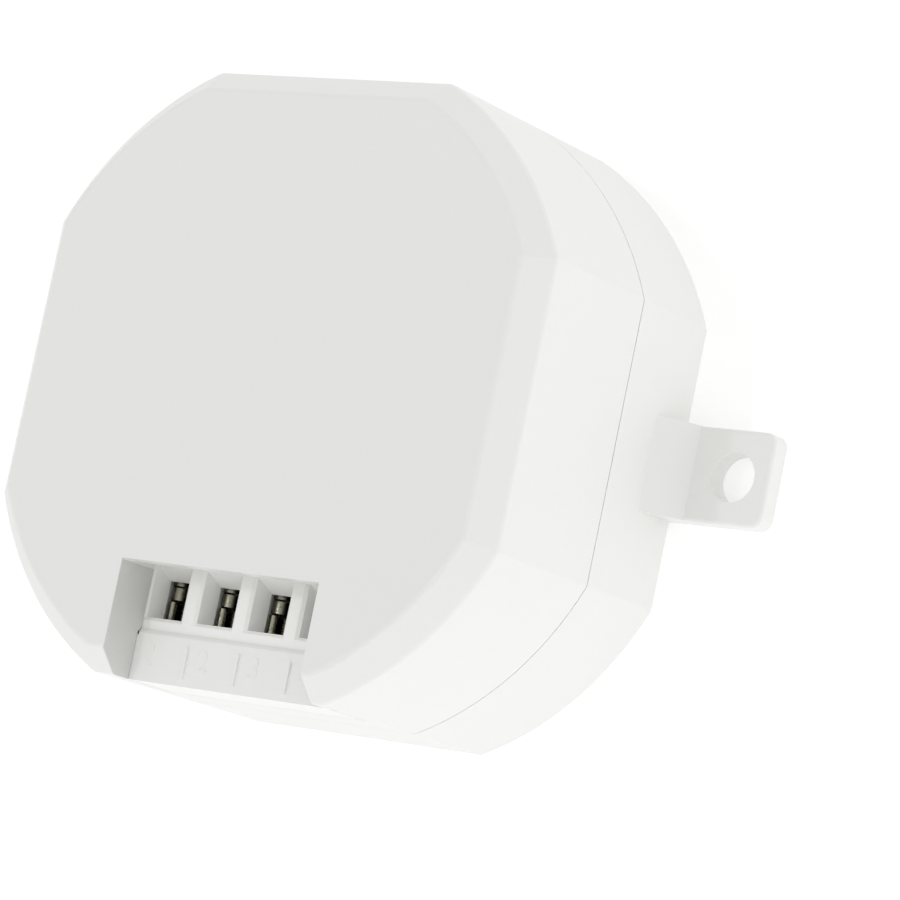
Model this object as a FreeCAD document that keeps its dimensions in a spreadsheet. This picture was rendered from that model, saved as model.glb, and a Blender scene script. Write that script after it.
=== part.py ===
import FreeCAD, Part
import os
import re

# In-wall dimmer module lying on its mounting side: +Z is the terminal face,
# -Y is the side with the open terminal recess, +X is the side with the ear.
# The origin is the centre of the mounting side. All lengths are in mm.

os.makedirs("parts", exist_ok=True)
doc = FreeCAD.newDocument("dimmer")
sheet = doc.addObject("Spreadsheet::Sheet", "sizes")

SIZES = [
    ("flat_half", 24.5, "axis to each flat side"),
    ("corner_out", 2.5, "rounded corners stand out from the flat sides"),
    ("depth", 24.2, "mounting side to terminal face"),
    ("seam_z", 9.85, "height of the seam between the shells"),
    ("seam_gap", 0.09, "open line at the seam"),
    ("seam_in", 0.15, "depth of the line at the seam"),
    ("wall", 1.5, "side wall and mounting side thickness"),
    ("face_wall", 1.6, "terminal face thickness"),
    ("bevel_in", 1.9, "bevel of the terminal face, inward"),
    ("bevel_down", 2.0, "bevel of the terminal face, along the side"),
    ("tongue_t", 0.7, "tongue of the front shell"),
    ("tongue_h", 1.9, "tongue reach below the seam"),
    ("fit_gap", 0.06, "gap between fixed pieces"),
    ("snap_w", 6.0, "width of a snap lug"),
    ("snap_t", 0.3, "height of a snap lug above the tongue"),
    ("snap_h", 0.6, "length of a snap lug along Z"),
    ("ear_y", -0.4, "ear centre line"),
    ("ear_half", 3.8, "half the ear width"),
    ("ear_x", 9.3, "end of the ear from the side"),
    ("ear_t", 2.0, "ear thickness"),
    ("ear_hole_x", 6.0, "screw hole from the side"),
    ("ear_hole_r", 2.0, "screw hole radius"),
    ("ear_corner", 1.0, "ear corner radius"),
    ("gusset_x", 2.3, "foot of the gusset from the side"),
    ("gusset_z", 5.0, "top of the gusset on the wall"),
    ("recess_left", -9.3, "terminal recess, left wall"),
    ("recess_right", 10.2, "terminal recess, right wall"),
    ("recess_top", 9.0, "terminal recess, upper edge, from the -Y side"),
    ("recess_wall", 1.2, "wall beside the recess"),
    ("block_front", 4.17, "terminal block below the face"),
    ("pole_mid", 0.15, "middle of the four poles"),
    ("pole_pitch", 5.08, "terminal pitch"),
    ("pole_end", 0.55, "end wall of the terminal block"),
    ("block_low", 3.9, "lower side of the block front, from the -Y side"),
    ("block_foot", 2.6, "lower side of the screw wall, from the -Y side"),
    ("block_high", 11.1, "upper side of the block, from the -Y side"),
    ("hood_t", 0.8, "hood above the block"),
    ("window_half", 1.8, "half the window width at the front"),
    ("window_low", 5.1, "window, lower edge, from the -Y side"),
    ("window_high", 9.45, "window, upper edge, from the -Y side"),
    ("window_taper", 0.25, "window narrows by this on its other sides"),
    ("window_slope", 1.05, "slope of the upper side of the window, along Y"),
    ("window_edge", 0.22, "chamfer round the window"),
    ("chamber_half", 1.98, "half the clamp chamber width"),
    ("chamber_low", 4.2, "clamp chamber, screw side, from the -Y side"),
    ("chamber_high", 10.3, "clamp chamber, far side, from the -Y side"),
    ("chamber_front", 6.2, "clamp chamber below the face"),
    ("screw_z", 7.8, "axis of the clamp screws below the face"),
    ("shank_r", 0.95, "clamp screw shank radius"),
    ("shank_tip", 6.7, "clamp screw tip from the -Y side"),
    ("head_r", 1.75, "clamp screw head radius"),
    ("head_top", 3.7, "clamp screw, under the head, from the -Y side"),
    ("head_t", 1.0, "clamp screw head thickness"),
    ("slot_w", 0.5, "screw slot width"),
    ("slot_d", 0.5, "screw slot depth"),
    ("thread_gap", 0.05, "shank to threaded hole, radial"),
    ("cage_half", 1.85, "half the clamp cage width"),
    ("cage_side", 0.8, "clamp cage side thickness"),
    ("cage_low", 4.28, "clamp cage, screw side, from the -Y side"),
    ("cage_nut", 0.8, "clamp cage threaded side thickness"),
    ("jaw_low", 7.5, "clamp jaw, wire side, from the -Y side"),
    ("jaw_high", 8.5, "clamp jaw, outer side, from the -Y side"),
    ("jaw_front", 7.6, "clamp jaw, front, below the face"),
    ("lug_r", 0.72, "rounded lug over the jaw, radius"),
    ("lug_low", 7.0, "rounded lug, screw side, from the -Y side"),
    ("crease_y", 8.15, "groove across the lugs, from the -Y side"),
    ("crease_w", 0.16, "groove width"),
    ("crease_deep", 0.5, "groove depth"),
    ("cage_back", 9.45, "clamp cage, back, below the face"),
    ("cage_front", 6.55, "clamp cage, front, below the face"),
    ("bar_half", 0.9, "half the contact bar width"),
    ("bar_low", 6.8, "contact bar, screw side, from the -Y side"),
    ("bar_t", 0.6, "contact bar thickness"),
    ("bar_top", 8.2, "contact bar, front end, below the face"),
    ("pin_half", 0.45, "half the solder pin width"),
    ("cover_deep", 3.82, "marking strip below the face"),
    ("cover_t", 0.8, "marking strip thickness"),
    ("cover_gap", 0.1, "gap round the sliding cover"),
    ("cover_back", 9.3, "foot of the cover below the face"),
    ("guide_in", 0.5, "guide rib of the cover"),
    ("guide_t", 0.8, "guide rib thickness"),
    ("lip_lap", 0.2, "lip of the cover over the sill of the windows"),
    ("lip_t", 0.1, "lip of the cover, thickness at its edge"),
    ("lip_gap", 0.05, "gap under the lip and over the guide ribs of the cover"),
    ("rule_w", 0.3, "dividing rule width"),
    ("rule_h", 0.2, "dividing rule height"),
    ("rule_shift", 0.9, "dividing rule from the middle of its rib"),
    ("board_z", 6.0, "underside of the circuit board"),
    ("board_t", 1.6, "circuit board thickness"),
    ("board_gap", 0.4, "circuit board to the walls"),
    ("post_x", 7.0, "board posts from the side, X"),
    ("post_in", 4.3, "board posts inward from the rounded corners"),
    ("post_r", 1.9, "board post radius"),
    ("peg_r", 0.8, "locating peg radius"),
    ("pillar_r", 1.5, "pillar of the front shell, radius"),
    ("lead_r", 0.35, "component lead radius"),
    ("lead_hole_r", 0.5, "lead hole radius"),
    ("lead_low", 5.0, "lower end of the leads"),
    ("stand_off", 0.3, "component stand-off"),
    ("film_w", 15.0, "film capacitor width"),
    ("film_t", 7.0, "film capacitor thickness"),
    ("film_clear", 2.2, "film capacitor to the terminal face"),
    ("film_x", -10.0, "film capacitor, X"),
    ("film_back", 2.4, "film capacitor to the terminal block"),
    ("film_pitch", 12.5, "film capacitor lead spacing"),
    ("choke_r", 6.5, "choke flange radius"),
    ("choke_core_r", 3.0, "choke core radius"),
    ("choke_flange", 1.2, "choke flange thickness"),
    ("choke_clear", 3.7, "choke to the terminal face"),
    ("choke_back", 1.4, "choke to the terminal block"),
    ("choke_gap", 0.2, "choke to the fuse"),
    ("choke_pitch", 8.0, "choke lead spacing"),
    ("coil_r", 5.9, "choke winding radius"),
    ("can_r", 4.0, "electrolytic capacitor radius"),
    ("can_clear", 2.7, "electrolytic capacitor to the terminal face"),
    ("can_side", 2.5, "electrolytic capacitor to the side wall"),
    ("can_gap", 2.5, "electrolytic capacitor to the film capacitor"),
    ("can_pitch", 3.5, "electrolytic capacitor lead spacing"),
    ("fuse_r", 4.0, "fuse radius"),
    ("fuse_h", 8.0, "fuse height"),
    ("fuse_side", 0.8, "fuse to the side wall"),
    ("fuse_gap", 0.7, "fuse to the pillar"),
    ("fuse_pitch", 5.0, "fuse lead spacing"),
    ("disc_r", 5.0, "varistor radius"),
    ("disc_t", 3.6, "varistor thickness"),
    ("disc_y", 14.0, "varistor, Y"),
    ("disc_gap", 1.0, "varistor to the pillar"),
    ("disc_pitch", 7.5, "varistor lead spacing"),
    ("sink_y", 14.0, "heat sink, transistor side"),
    ("sink_t", 1.5, "heat sink thickness"),
    ("sink_clear", 1.7, "heat sink to the terminal face"),
    ("sink_gap", 0.5, "heat sink to the varistor"),
    ("sink_side", 0.9, "heat sink to the pillar"),
    ("fet_edge", 0.5, "transistor to the end of the heat sink"),
    ("fet_gap", 0.6, "gap between the transistors"),
    ("fet_t", 4.4, "transistor thickness"),
    ("fet_clear", 2.1, "transistor to the terminal face"),
    ("fet_pitch", 2.54, "transistor lead spacing"),
    ("fet_lead", 2.0, "transistor leads from the heat sink"),
    ("bolt_drop", 3.0, "transistor screw below the top of the transistor"),
    ("bolt_r", 1.2, "transistor screw radius"),
    ("bolt_head_r", 2.3, "transistor screw head radius"),
    ("bolt_head_t", 1.5, "transistor screw head thickness"),
    ("chip_x", -4.0, "controller chip, X"),
    ("chip_gap", 4.5, "controller chip legs to the film capacitor"),
    ("chip_leg", 1.0, "controller chip, reach of the legs"),
    ("chip_l", 10.0, "controller chip length"),
    ("chip_w", 4.0, "controller chip width"),
    ("chip_h", 1.6, "controller chip height"),
    ("radio_x", 4.9, "radio board, chip side, from the +X side"),
    ("radio_t", 1.0, "radio board thickness"),
    ("radio_clear", 2.0, "radio board to the terminal face"),
    ("radio_l", 12.2, "radio board length"),
    ("radio_gap", 1.1, "radio board to the fuse"),
    ("sheet_t", 0.4, "insulating sheet thickness"),
    ("button_x", 12.5, "push button from the -X side"),
    ("button_y", 10.0, "push button, Y"),
    ("button_r", 1.62, "push button radius"),
    ("button_gap", 0.08, "push button to its hole, radial"),
    ("button_sunk", 0.3, "push button below the mounting side"),
    ("button_flange", 2.3, "push button flange radius"),
    ("stem_r", 1.0, "push button stem radius"),
    ("switch_half", 3.0, "half the switch body"),
    ("switch_h", 2.7, "switch body height"),
    ("pipe_x", 12.5, "light pipe from the -X side"),
    ("pipe_y", 2.0, "light pipe, Y"),
    ("pipe_r", 1.25, "light pipe radius"),
    ("label_w", 24.0, "blank label width"),
    ("label_h", 30.0, "blank label height"),
    ("label_x", 6.0, "blank label centre, X"),
    ("label_t", 0.15, "blank label thickness"),
    ("edge_round", 0.6, "rounded outer edges of the shells"),
    ("ear_round", 0.3, "rounded edges of the ear"),
]

for row, (alias, value, note) in enumerate(SIZES, start=1):
    sheet.set("A%d" % row, note)
    sheet.set("B%d" % row, str(value))
    sheet.setAlias("B%d" % row, alias)
sheet.set("B%d" % (len(SIZES) + 1), "=flat_half + corner_out")
sheet.setAlias("B%d" % (len(SIZES) + 1), "round_r")
doc.recompute()

ALIASES = {alias for alias, value, note in SIZES} | {"round_r"}
# Sizes that are measured from a side or from the face, and the coordinate that each gives.
DATUMS = {
    "(sizes.%s - sizes.flat_half)": {
        "recess_top", "block_low", "block_foot", "block_high", "window_low", "window_high",
        "chamber_low", "chamber_high", "shank_tip", "head_top", "cage_low", "jaw_low", "jaw_high",
        "lug_low", "crease_y", "bar_low", "button_x", "pipe_x",
    },
    "(sizes.flat_half - sizes.%s)": {"post_x", "radio_x"},
    "(sizes.flat_half + sizes.%s)": {"ear_x", "ear_hole_x", "gusset_x"},
    "(sizes.depth - sizes.%s)": {"screw_z", "cage_back", "cage_front", "jaw_front", "bar_top"},
}
FACE = "depth"
BOARD_TOP = "board_z + board_t"
SEAT = "board_z + board_t + stand_off"
FRONT_INSIDE = "depth - face_wall"
BLOCK_FRONT = "depth - block_front"
POST_Y = "sqrt((round_r - post_in)^2 - post_x^2)"


def reference(match):
    """Sheet reference of one size name, as a coordinate where it is measured from a side."""
    name = match.group()
    for pattern, names in DATUMS.items():
        if name in names:
            return pattern % name
    return "sizes." + name if name in ALIASES else name


def sized(text):
    """Turn size names in an expression into references to the sheet."""
    return re.sub(r"[a-z_]+", reference, text)


def bind(obj, prop, text):
    obj.setExpression(prop, sized(text))


def place(obj, x, y, z):
    bind(obj, "Placement.Base.x", x)
    bind(obj, "Placement.Base.y", y)
    bind(obj, "Placement.Base.z", z)


def block(x, y, z):
    """Box from three (low, high) pairs."""
    box = doc.addObject("Part::Box", "box")
    for prop, (low, high) in zip(("Length", "Width", "Height"), (x, y, z)):
        bind(box, prop, "(%s) - (%s)" % (high, low))
    place(box, x[0], y[0], z[0])
    return box


TURNS = {
    "x": FreeCAD.Rotation(FreeCAD.Vector(0, 1, 0), 90),
    "y": FreeCAD.Rotation(FreeCAD.Vector(1, 0, 0), -90),
    "z": FreeCAD.Rotation(),
}


def rod(axis, centre, radius, span):
    """Cylinder along an axis: centre gives the two other coordinates."""
    cylinder = doc.addObject("Part::Cylinder", "rod")
    cylinder.Placement = FreeCAD.Placement(FreeCAD.Vector(), TURNS[axis])
    bind(cylinder, "Radius", radius)
    bind(cylinder, "Height", "(%s) - (%s)" % (span[1], span[0]))
    first, second = centre
    spots = {"x": (span[0], first, second), "y": (first, span[0], second), "z": (first, second, span[0])}
    place(cylinder, *spots[axis])
    return cylinder


def join(pieces):
    if len(pieces) == 1:
        return pieces[0]
    fused = doc.addObject("Part::MultiFuse", "join")
    fused.Shapes = pieces
    return fused


def overlap(pieces):
    shared = doc.addObject("Part::MultiCommon", "overlap")
    shared.Shapes = pieces
    return shared


def cut(base, tools):
    result = doc.addObject("Part::Cut", "cut")
    result.Base = base
    result.Tool = join(tools)
    return result


def around(value):
    """Both ends of a centred span."""
    return "-(%s)" % value, value


def rounded_square(inset, z):
    """Flat-sided round plug, inset from the outside of the housing."""
    half = "flat_half - (%s)" % inset
    square = block(around(half), around(half), z)
    circle = rod("z", ("0", "0"), "round_r - (%s)" % inset, z)
    return overlap([square, circle])


def bevelled_cap(z):
    """Top slice of the housing, narrowing toward the terminal face."""
    wedge = doc.addObject("Part::Wedge", "wedge")
    for prop in ("Xmin", "Zmin"):
        bind(wedge, prop, "-flat_half")
    for prop in ("Xmax", "Zmax"):
        bind(wedge, prop, "flat_half")
    for prop in ("X2min", "Z2min"):
        bind(wedge, prop, "bevel_in - flat_half")
    for prop in ("X2max", "Z2max"):
        bind(wedge, prop, "flat_half - bevel_in")
    bind(wedge, "Ymin", "0")
    bind(wedge, "Ymax", "(%s) - (%s)" % (z[1], z[0]))
    wedge.Placement = FreeCAD.Placement(FreeCAD.Vector(), FreeCAD.Rotation(FreeCAD.Vector(1, 0, 0), 90))
    place(wedge, "0", "0", z[0])
    cone = doc.addObject("Part::Cone", "cone")
    bind(cone, "Radius1", "round_r")
    bind(cone, "Radius2", "round_r - bevel_in")
    bind(cone, "Height", "(%s) - (%s)" % (z[1], z[0]))
    place(cone, "0", "0", z[0])
    return overlap([wedge, cone])


def funnel(centre, outset, taper, slope, deep):
    """Window-shaped cut into the block front: outset widens its mouth and taper narrows it with
    depth, on the upper side slope does."""
    wedge = doc.addObject("Part::Wedge", "wedge")
    bind(wedge, "Xmin", "-window_half - (%s)" % outset)
    bind(wedge, "Xmax", "window_half + %s" % outset)
    bind(wedge, "X2min", "%s - %s - window_half" % (taper, outset))
    bind(wedge, "X2max", "window_half + %s - %s" % (outset, taper))
    bind(wedge, "Zmin", "window_low - %s" % outset)
    bind(wedge, "Zmax", "window_high + %s" % outset)
    bind(wedge, "Z2min", "window_low - %s + %s" % (outset, taper))
    bind(wedge, "Z2max", "window_high + %s - %s" % (outset, slope))
    bind(wedge, "Ymin", "0")
    bind(wedge, "Ymax", deep)
    wedge.Placement = FreeCAD.Placement(FreeCAD.Vector(), FreeCAD.Rotation(FreeCAD.Vector(1, 0, 0), -90))
    place(wedge, centre, "0", BLOCK_FRONT)
    return wedge


def soften(base, size, wanted):
    """Round the edges of a shape that the test picks out."""
    refined = doc.addObject("Part::Refine", "refined")
    refined.Source = base
    doc.recompute()
    radius = sheet.get(size)
    rounded = doc.addObject("Part::Fillet", "rounded")
    rounded.Base = refined
    numbered = enumerate(refined.Shape.Edges, start=1)
    rounded.Edges = [(number, radius, radius) for number, edge in numbered if wanted(edge.BoundBox)]
    return rounded


def off_seam(box):
    """Edges of a shell that don't lie in the plane of the seam."""
    seam = (sheet.get("seam_z"), sheet.get("seam_z") - sheet.get("seam_gap"))
    return not any(abs(box.ZMin - z) < 0.01 and box.ZLength < 0.01 for z in seam)


def outer_ear(box):
    """Edges of the ear that lie flat and aren't hidden in the wall."""
    return box.ZLength < 0.01 and box.XMax > sheet.get("flat_half")


def finish(shape, name):
    """Name a finished piece; its label is also its file name."""
    shape.Label = name
    NODES.append(shape)
    return shape


def pole(number):
    """Centre of a terminal pole, counted from the left."""
    return "pole_mid + (%g) * pole_pitch" % (number - 2.5)


def leads(spots, top=SEAT):
    return [rod("z", spot, "lead_r", ("lead_low", top)) for spot in spots]


NODES = []
POLES = (1, 2, 3, 4)
CORNERS = [(sx + "post_x", sy + POST_Y) for sx in ("", "-") for sy in ("", "-")]


# Snap lugs on the four flats; grow widens them into pockets.
def snap_boxes(grow):
    width = around("snap_w / 2 + (%s)" % grow)
    face = "flat_half - wall + tongue_t"
    reach = ("(%s) - 0.1" % face, "%s + snap_t + (%s)" % (face, grow))
    mirrored = tuple("-(%s)" % text for text in reversed(reach))
    middle = "seam_z - tongue_h / 2"
    rise = ("%s - snap_h / 2 - (%s)" % (middle, grow), "%s + snap_h / 2 + (%s)" % (middle, grow))
    return [
        block(reach, width, rise),
        block(mirrored, width, rise),
        block(width, reach, rise),
        block(width, mirrored, rise),
    ]


# Front shell: bevelled cap with the open terminal recess.
barrel = rounded_square("0", ("seam_z", "depth - bevel_down"))
cap = bevelled_cap(("depth - bevel_down", FACE))
tongue = cut(
    join([
        rounded_square("wall - tongue_t + fit_gap", ("seam_z - tongue_h", "seam_z + 1")),
        rounded_square("seam_in", ("seam_z - seam_gap + fit_gap", "seam_z + 1")),
    ]),
    [rounded_square("wall", ("seam_z - tongue_h - 1", "seam_z + 2"))],
)
hollow = rounded_square("wall", ("seam_z - 1", FRONT_INSIDE))
front_walls = cut(soften(join([barrel, cap]), "edge_round", off_seam), [hollow])
pillar_z = (BOARD_TOP + " + fit_gap", FRONT_INSIDE + " + 0.2")
pillars = [rod("z", spot, "pillar_r", pillar_z) for spot in CORNERS]
recess_inner_low = "wall - flat_half - 0.2"
side_walls = []
WALLS = (
    ("recess_left - recess_wall", "recess_left"),
    ("recess_right", "recess_right + recess_wall"),
)
for low, high in WALLS:
    side_walls.append(
        block(
            (low, high),
            (recess_inner_low, "block_high - hood_t - fit_gap"),
            (BLOCK_FRONT + " + fit_gap", FRONT_INSIDE + " + 0.2"),
        )
    )
    side_walls.append(
        block(
            (low, high),
            (recess_inner_low, "block_low - fit_gap"),
            ("depth - chamber_front", BLOCK_FRONT + " + 1"),
        )
    )
    side_walls.append(
        block(
            (low, high),
            (recess_inner_low, "block_foot - fit_gap"),
            ("depth - cover_back", "depth - chamber_front + 1"),
        )
    )
notch = block(
    ("recess_left", "recess_right"),
    ("-flat_half - 1", "recess_top"),
    ("depth - cover_back", "depth + 1"),
)
STRIP_TOP = "depth - cover_deep"
guide_z = (STRIP_TOP + " - guide_t - cover_gap", STRIP_TOP + " + lip_gap")
grooves = block(
    ("recess_left - guide_in - cover_gap", "recess_right + guide_in + cover_gap"),
    ("-flat_half - 1", "block_low"),
    guide_z,
)
front_shell = cut(
    join([front_walls, tongue] + pillars + side_walls + snap_boxes("0")),
    [notch, grooves],
)
finish(front_shell, "front_shell")

# Rear shell: tray with the mounting ear, board posts and the service holes.
tray = soften(rounded_square("0", ("0", "seam_z - seam_gap")), "edge_round", off_seam)
well = rounded_square("wall", ("wall", "seam_z + 1"))
rebate = rounded_square("wall - tongue_t", ("seam_z - tongue_h - fit_gap", "seam_z + 1"))
ear_y = ("ear_y - ear_half", "ear_y + ear_half")
ear_body = block(("flat_half - wall / 2", "ear_x - ear_corner"), ear_y, ("0", "ear_t"))
ear_end = block(
    ("ear_x - ear_corner - 0.1", "ear_x"),
    ("ear_y - ear_half + ear_corner", "ear_y + ear_half - ear_corner"),
    ("0", "ear_t"),
)
ear_corners = [
    rod("z", ("ear_x - ear_corner", "ear_y %s (ear_half - ear_corner)" % sign), "ear_corner", ("0", "ear_t"))
    for sign in "+-"
]
ear = soften(join([ear_body, ear_end] + ear_corners), "ear_round", outer_ear)
gusset = doc.addObject("Part::Wedge", "wedge")
bind(gusset, "Xmin", "0")
bind(gusset, "Xmax", "gusset_x - flat_half + wall / 2")
bind(gusset, "X2min", "0")
bind(gusset, "X2max", "wall / 2")
bind(gusset, "Zmin", "-ear_half")
bind(gusset, "Zmax", "ear_half")
bind(gusset, "Z2min", "-ear_half")
bind(gusset, "Z2max", "ear_half")
bind(gusset, "Ymin", "0")
bind(gusset, "Ymax", "gusset_z - ear_t")
gusset.Placement = FreeCAD.Placement(FreeCAD.Vector(), FreeCAD.Rotation(FreeCAD.Vector(1, 0, 0), 90))
place(gusset, "flat_half - wall / 2", "ear_y", "ear_t")
posts = [rod("z", spot, "post_r", ("wall / 2", "board_z")) for spot in CORNERS]
pegs = [rod("z", spot, "peg_r", ("board_z - 0.5", BOARD_TOP)) for spot in CORNERS]
label_spot = (
    ("label_x - label_w / 2 - fit_gap", "label_x + label_w / 2 + fit_gap"),
    around("label_h / 2 + fit_gap"),
)
rear_cuts = [
    rod("z", ("ear_hole_x", "ear_y"), "ear_hole_r", ("-1", "ear_t + 1")),
    rod("z", ("button_x", "button_y"), "button_r + button_gap", ("-1", "wall + 1")),
    rod("z", ("pipe_x", "pipe_y"), "pipe_r + fit_gap", ("-1", "wall + 1")),
    block(label_spot[0], label_spot[1], ("-1", "label_t + fit_gap")),
]
hollow_tray = cut(tray, [join([well, rebate])])
pocketed_tray = cut(hollow_tray, snap_boxes("fit_gap"))
rear_solid = join([pocketed_tray, ear, gusset] + posts + pegs)
finish(cut(rear_solid, rear_cuts), "rear_shell")

# Terminal block: four poles with wire windows, clamp chambers and screw holes.
block_x = ("pole_mid - 2 * pole_pitch - pole_end", "pole_mid + 2 * pole_pitch + pole_end")
body = block(block_x, ("block_low", "block_high"), (BOARD_TOP, BLOCK_FRONT))
foot = block(block_x, ("block_foot", "block_low + 0.5"), ("cage_back - 1", "depth - chamber_front - fit_gap"))
hood = block(
    block_x,
    ("block_high - hood_t", "block_high"),
    (BLOCK_FRONT + " - 1", FRONT_INSIDE + " - fit_gap"),
)
block_cuts = []
for number in POLES:
    middle = pole(number)
    block_cuts.append(funnel(middle, "0", "window_taper", "window_slope", "chamber_front - block_front"))
    block_cuts.append(funnel(middle, "window_edge", "window_edge", "window_edge", "window_edge"))
    block_cuts.append(
        block(
            (middle + " - chamber_half", middle + " + chamber_half"),
            ("chamber_low", "chamber_high"),
            (BOARD_TOP + " - 1", "depth - chamber_front"),
        )
    )
    axis = (middle, "screw_z")
    block_cuts.append(rod("y", axis, "shank_r + 2 * thread_gap", ("block_foot - 1", "chamber_low + 0.5")))
    block_cuts.append(rod("y", axis, "head_r + 2 * thread_gap", ("block_foot - 1", "head_top + thread_gap")))
finish(cut(join([body, foot, hood]), block_cuts), "terminal_block")

# Clamp screw, rising cage and contact bar of each pole.
for number in POLES:
    middle = pole(number)
    axis = (middle, "screw_z")
    shank = rod("y", axis, "shank_r", ("head_top - 0.2", "shank_tip"))
    head = rod("y", axis, "head_r", ("head_top - head_t", "head_top"))
    slot = block(
        (middle + " - head_r - 1", middle + " + head_r + 1"),
        ("head_top - head_t - 1", "head_top - head_t + slot_d"),
        ("screw_z - slot_w / 2", "screw_z + slot_w / 2"),
    )
    finish(cut(join([shank, head]), [slot]), "clamp_screw_%d" % number)

    outside = (middle + " - cage_half", middle + " + cage_half")
    inside = (middle + " - cage_half + cage_side", middle + " + cage_half - cage_side")
    rim_z = "cage_front - cage_side / 2"
    lug_z = "cage_front - lug_r"
    frame = block(outside, ("cage_low", "jaw_high"), ("cage_back", rim_z))
    opening = block(inside, ("cage_low + cage_nut", "jaw_low"), ("cage_back - 1", "cage_front + 1"))
    jaw_cut = block(inside, ("jaw_low - 0.5", "jaw_high + 1"), ("jaw_front", "cage_front + 1"))
    nut = block(outside, ("cage_low", "cage_low + cage_nut"), ("screw_z", "cage_front"))
    rounded = []
    for sign in "+-":
        side = "%s %s (cage_half" % (middle, sign)
        rim = (side + " - cage_side / 2)", rim_z)
        rounded.append(rod("y", rim, "cage_side / 2", ("cage_low", "lug_low")))
        rounded.append(rod("y", (side + " - lug_r)", lug_z), "lug_r", ("lug_low", "jaw_high")))
    cage_cuts = [rod("y", axis, "shank_r + thread_gap", ("cage_low - 1", "cage_low + cage_nut + 0.5"))]
    for high in ("lug_low", "crease_y"):
        cage_cuts.append(
            block(
                (middle + " - cage_half - 1", middle + " + cage_half + 1"),
                (high + " - crease_w", high),
                ("cage_front - crease_deep", "cage_front + 1"),
            )
        )
    cage = join([cut(frame, [opening, jaw_cut]), nut] + rounded)
    finish(cut(cage, cage_cuts), "clamp_cage_%d" % number)

    bar = block(
        (middle + " - bar_half", middle + " + bar_half"),
        ("bar_low", "bar_low + bar_t"),
        (BOARD_TOP + " + fit_gap", "bar_top"),
    )
    pin = block(
        (middle + " - pin_half", middle + " + pin_half"),
        ("bar_low", "bar_low + bar_t"),
        ("lead_low", BOARD_TOP + " + 1"),
    )
    finish(join([bar, pin]), "contact_bar_%d" % number)

# Sliding cover: marking strip with dividing rules and the foot over the screws.
cover_x = ("recess_left + cover_gap", "recess_right - cover_gap")
strip = block(cover_x, ("-flat_half", "block_low - cover_gap"), (STRIP_TOP + " - cover_t", STRIP_TOP))
foot_wall = block(
    cover_x,
    ("-flat_half", "wall - flat_half"),
    ("depth - cover_back + cover_gap", STRIP_TOP + " - cover_t + 0.2"),
)
guides = [
    block(span, ("-flat_half", "block_low - cover_gap - 0.2"), (STRIP_TOP + " - guide_t", STRIP_TOP))
    for span in (
        ("recess_left - guide_in", "recess_left + cover_gap + 0.5"),
        ("recess_right - cover_gap - 0.5", "recess_right + guide_in"),
    )
]
lip_low = BLOCK_FRONT + " + lip_gap"
lip = block(cover_x, ("block_low - cover_gap - 0.2", "block_low + lip_lap"), (lip_low, lip_low + " + lip_t"))
ramp = doc.addObject("Part::Wedge", "wedge")
for prop in ("Xmin", "X2min"):
    bind(ramp, prop, cover_x[0])
for prop in ("Xmax", "X2max"):
    bind(ramp, prop, cover_x[1])
for prop in ("Zmin", "Z2min"):
    bind(ramp, prop, "block_low - cover_gap - 0.2")
bind(ramp, "Zmax", "block_low - cover_gap")
bind(ramp, "Z2max", "block_low + lip_lap")
bind(ramp, "Ymin", "0")
bind(ramp, "Ymax", "%s - (%s + lip_t)" % (STRIP_TOP, lip_low))
ramp.Placement = FreeCAD.Placement(FreeCAD.Vector(), FreeCAD.Rotation(FreeCAD.Vector(1, 0, 0), -90))
place(ramp, "0", "0", STRIP_TOP)
rules = []
for step in (-1, 0, 1):
    rule_x = "pole_mid + (%d) * pole_pitch + rule_shift" % step
    rules.append(
        block(
            (rule_x + " - rule_w / 2", rule_x + " + rule_w / 2"),
            ("0.6 - flat_half", "block_low - 0.8"),
            (STRIP_TOP + " - 0.1", STRIP_TOP + " + rule_h"),
        )
    )
finish(join([strip, foot_wall, lip, ramp] + guides + rules), "terminal_cover")

# Circuit board and its parts. Each part stands off the wall, pillar or part beside it.
FILM = ("film_x", "block_high + film_back + film_t / 2")
FUSE = ("flat_half - wall - fuse_side - fuse_r", "pillar_r - %s + fuse_gap + fuse_r" % POST_Y)
CHOKE = (FUSE[0] + " - fuse_r - choke_gap - choke_r", "block_high + choke_back + choke_r")
CAN = ("can_r + can_side + wall - flat_half", FILM[1] + " + film_t / 2 + can_gap + can_r")
DISC = ("pillar_r - post_x + disc_gap + disc_r", "disc_y")
SINK = (DISC[0] + " + disc_r + sink_gap", "post_x - pillar_r - sink_side")
FET_WIDTH = "((%s - (%s)) / 2 - fet_edge - fet_gap / 2)" % (SINK[1], SINK[0])
FETS = (
    "%s + fet_edge + %s / 2" % (SINK[0], FET_WIDTH),
    "%s - fet_edge - %s / 2" % (SINK[1], FET_WIDTH),
)
CHIP = ("chip_x", FILM[1] + " + film_t / 2 + chip_gap + chip_leg + chip_w / 2")


def pair_of_leads(spot, along, pitch):
    """Two lead positions on both sides of a part's centre."""
    x, y = spot
    if along == "x":
        return [(x + sign + pitch + " / 2", y) for sign in (" - ", " + ")]
    return [(x, y + sign + pitch + " / 2") for sign in (" - ", " + ")]


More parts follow.
